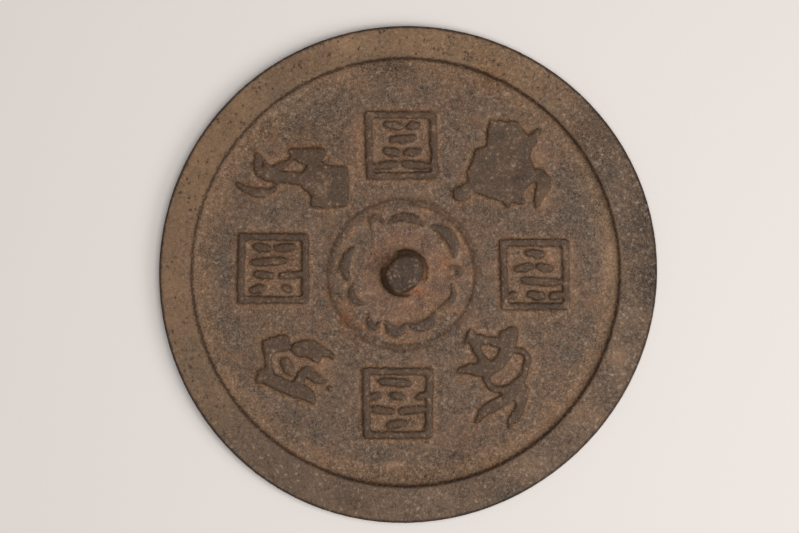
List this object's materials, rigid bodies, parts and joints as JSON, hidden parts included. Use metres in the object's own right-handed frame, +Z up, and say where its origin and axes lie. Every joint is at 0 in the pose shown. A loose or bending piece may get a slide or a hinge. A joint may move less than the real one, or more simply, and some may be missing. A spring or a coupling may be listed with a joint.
{
  "type": "ancient bronze mirror",
  "caption": "Round cast bronze mirror lying back up: flat wide rim, sunk field with framed panels and worn figures, rosette, and a knob bored for a hanging cord.",
  "frame": {"origin": "on the plane it rests on, under the middle of the round outline", "axes": "+Z up, out of the decorated back; +X along the cord hole through the knob; the pattern's upright direction points between -X and +Y"},
  "size_m": [0.2388, 0.241, 0.013],
  "materials": {
    "bronze": "dull brown patina with grey-brown and orange-tan deposits, rough cast skin"
  },
  "bodies": {
    "root": {"mirror": "bronze"}
  },
  "joints": []
}
